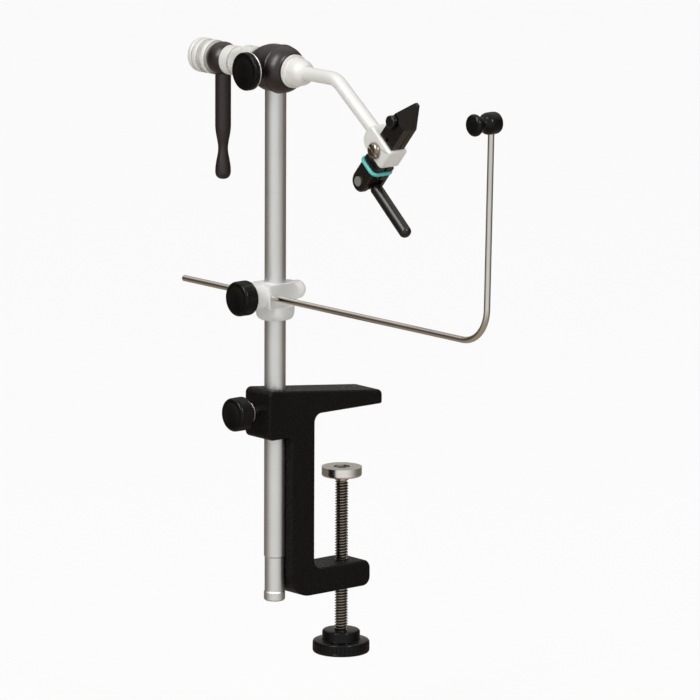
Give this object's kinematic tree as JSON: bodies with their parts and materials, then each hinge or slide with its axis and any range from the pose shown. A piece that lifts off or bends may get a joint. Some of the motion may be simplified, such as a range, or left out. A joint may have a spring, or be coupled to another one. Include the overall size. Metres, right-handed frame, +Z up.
{
  "type": "fly tying vise",
  "caption": "Rotary fly tying vise: a table C-clamp holds an upright stem with a bent thread cradle and a crank-turned head whose angled cam-lever jaws grip a fishing hook",
  "frame": {"origin": "on the underside of the upper clamp jaw, where it rests on the table, on the line of the clamp screw", "axes": "+X along the rotary axis towards the jaws, +Y away from the person who ties, over the table, +Z up along the stem"},
  "size_m": [0.211, 0.0806, 0.2803],
  "materials": {
    "black_casting": "satin black paint over a cast skin",
    "knob_black": "moulded black, satin",
    "stem_silver": "fine satin brushed along its turning",
    "collar_silver": "bead blasted",
    "pad_bright": "turned bright",
    "frosted_silver": "frosted anodised",
    "plum_black": "satin dark anodised",
    "jaw_black": "oiled black oxide",
    "rod_polished": "polished",
    "screw_dark": "dark oiled steel",
    "nylon_white": "moulded white",
    "bushing_bronze": "sintered bronze",
    "ring_teal": "soft satin",
    "spool_black": "gloss"
  },
  "bodies": {
    "clamp": {"clamp_frame": "black_casting"},
    "pad": {"clamp_pad": "pad_bright"},
    "screw": {"clamp_screw": "screw_dark", "clamp_knob": "knob_black", "clamp_knob_pin": "screw_dark", "pad_retainer": "screw_dark"},
    "stem": {"stem": "stem_silver"},
    "stem_lock": {"stem_lock_knob": "knob_black", "stem_lock_screw": "screw_dark"},
    "cradle_collar": {"cradle_collar": "collar_silver", "cradle_tension_plug": "nylon_white"},
    "cradle_lock": {"cradle_lock_knob": "knob_black", "cradle_lock_screw": "screw_dark"},
    "cradle_rod": {"cradle_rod": "rod_polished", "cradle_spool": "spool_black", "spool_grub_screw": "screw_dark"},
    "head": {"head_housing": "plum_black", "front_bushing": "bushing_bronze", "rear_bushing": "bushing_bronze", "drag_plug": "nylon_white", "housing_set_screw": "screw_dark"},
    "drag_lock": {"drag_knob": "knob_black", "drag_screw": "screw_dark"},
    "rotary": {"rotary_shaft": "rod_polished", "thrust_washer": "nylon_white", "rotary_hub": "frosted_silver", "rotary_arm": "frosted_silver", "rear_ring": "frosted_silver", "crank_ball": "plum_black", "crank_handle": "plum_black", "crank_grub_screw": "screw_dark", "jaw_block": "frosted_silver"},
    "drag_collar": {"drag_collar": "frosted_silver"},
    "end_knob": {"end_knob": "frosted_silver"},
    "clamp_bolt": {"jaw_clamp_bolt": "rod_polished"},
    "far_jaw": {"far_jaw": "jaw_black", "cam_pin": "rod_polished", "jaw_o_ring": "ring_teal"},
    "near_jaw": {"near_jaw": "jaw_black"},
    "adjuster": {"jaw_adjusting_screw": "jaw_black"},
    "cam_lever": {"cam_hub": "jaw_black", "lever_rod": "jaw_black"}
  },
  "joints": [
    {"name": "pad_travel", "type": "slide", "parent": "clamp", "child": "pad", "axis": [0, 0, 1], "range_m": [-0.037, 0.0195]},
    {"name": "screw_turn", "type": "hinge", "parent": "pad", "child": "screw", "pos_m": [0, 0, -0.028], "axis": [0, 0, 1], "continuous": true},
    {"name": "stem_height", "type": "slide", "parent": "clamp", "child": "stem", "axis": [0, 0, 1], "range_m": [-0.028, 0.06]},
    {"name": "stem_lock_turn", "type": "hinge", "parent": "clamp", "child": "stem_lock", "pos_m": [0, -0.054, 0.00355], "axis": [0, 1, 0], "range_deg": [-540, 20]},
    {"name": "collar_swing", "type": "hinge", "parent": "stem", "child": "cradle_collar", "pos_m": [0, -0.0391, 0.052], "axis": [0, 0, 1], "continuous": true},
    {"name": "cradle_lock_turn", "type": "hinge", "parent": "cradle_collar", "child": "cradle_lock", "pos_m": [0, -0.054, 0.0553], "axis": [0, 1, 0], "range_deg": [-540, 20]},
    {"name": "cradle_rod_reach", "type": "slide", "parent": "cradle_collar", "child": "cradle_rod", "axis": [1, 0, 0], "range_m": [-0.035, 0.035]},
    {"name": "head_swing", "type": "hinge", "parent": "stem", "child": "head", "pos_m": [0, -0.0391, 0.145], "axis": [0, 0, 1], "continuous": true},
    {"name": "drag_lock_turn", "type": "hinge", "parent": "head", "child": "drag_lock", "pos_m": [0, -0.054, 0.1562], "axis": [0, 1, 0], "range_deg": [-540, 20]},
    {"name": "rotary_spin", "type": "hinge", "parent": "head", "child": "rotary", "pos_m": [0, -0.0391, 0.1562], "axis": [1, 0, 0], "continuous": true},
    {"name": "drag_collar_turn", "type": "hinge", "parent": "rotary", "child": "drag_collar", "pos_m": [-0.02575, -0.0391, 0.1562], "axis": [1, 0, 0], "continuous": true},
    {"name": "end_knob_turn", "type": "hinge", "parent": "rotary", "child": "end_knob", "pos_m": [-0.05, -0.0391, 0.1562], "axis": [1, 0, 0], "continuous": true},
    {"name": "clamp_bolt_turn", "type": "hinge", "parent": "rotary", "child": "clamp_bolt", "pos_m": [0.07342, -0.0441, 0.12924], "axis": [0, 1, 0], "range_deg": [-540, 20]},
    {"name": "jaw_slide", "type": "slide", "parent": "rotary", "child": "far_jaw", "axis": [0.6494, 0, 0.7604], "range_m": [-0.0015, 0.0015]},
    {"name": "near_jaw_rock", "type": "hinge", "parent": "far_jaw", "child": "near_jaw", "pos_m": [0.08545, -0.03816, 0.14132], "axis": [0.7604, 0, -0.6494], "range_deg": [0, 1.5]},
    {"name": "adjuster_turn", "type": "hinge", "parent": "far_jaw", "child": "adjuster", "pos_m": [0.08347, -0.0391, 0.14301], "axis": [0, 1, 0], "range_deg": [-540, 20]},
    {"name": "cam_lever_swing", "type": "hinge", "parent": "far_jaw", "child": "cam_lever", "pos_m": [0.06246, -0.0391, 0.11441], "axis": [0, 1, 0], "range_deg": [0, 90]}
  ],
  "couplings": [
    {"joint": "screw_turn", "follows": "pad_travel", "rad_per_m": 4947.4},
    {"joint": "near_jaw_rock", "follows": "cam_lever_swing", "ratio": 0.016667}
  ]
}
